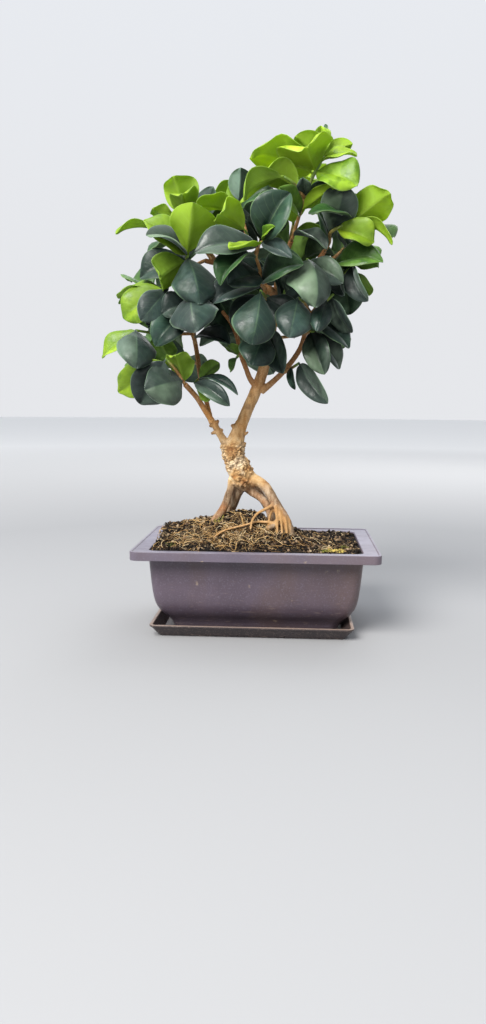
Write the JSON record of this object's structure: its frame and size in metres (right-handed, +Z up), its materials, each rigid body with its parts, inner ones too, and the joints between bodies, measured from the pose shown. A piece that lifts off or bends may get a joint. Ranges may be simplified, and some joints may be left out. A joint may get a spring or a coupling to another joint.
{
  "type": "potted bonsai tree",
  "caption": "Small broadleaf evergreen bonsai with exposed arching roots and forked trunk, mounded soil, oblong plastic pot and drip tray.",
  "frame": {"origin": "under the middle of the pot, in the plane of the drip tray's underside", "axes": "+Z up the tree, -Y to the front of the pot's long side, +X to the right"},
  "size_m": [0.2406, 0.1818, 0.4098],
  "materials": {
    "tray_plastic": "satin",
    "pot_plastic": "satin",
    "soil": "matte",
    "wood": "matte",
    "leaf": "satin"
  },
  "bodies": {
    "root": {"drip_tray": "tray_plastic", "pot": "pot_plastic", "soil": "soil", "trunk": "wood", "shoot_top": "leaf", "shoot_top_right": "leaf", "shoot_mid_right": "leaf", "shoot_right": "leaf", "shoot_right_low": "leaf", "shoot_low_right": "leaf", "shoot_hanging": "leaf", "shoot_centre_low": "leaf", "shoot_low_centre": "leaf", "shoot_inner_left": "leaf", "shoot_centre": "leaf", "shoot_mid_top": "leaf", "shoot_left_top": "leaf", "shoot_left_top_back": "leaf", "shoot_left_centre": "leaf", "shoot_left_mid": "leaf", "shoot_left_low": "leaf", "shoot_bottom_left": "leaf", "shoot_lower_left": "leaf", "shoot_back_top": "leaf", "shoot_back_right": "leaf", "shoot_back_low_right": "leaf", "shoot_back_middle": "leaf", "shoot_back_low": "leaf", "shoot_back_left_top": "leaf", "shoot_back_left": "leaf", "shoot_back_left_low": "leaf", "shoot_inner_right": "leaf", "shoot_inner_middle": "leaf", "shoot_back_centre": "leaf", "shoot_inner_left_top": "leaf", "shoot_inner_left_back": "leaf", "shoot_inner_low": "leaf"}
  },
  "joints": []
}
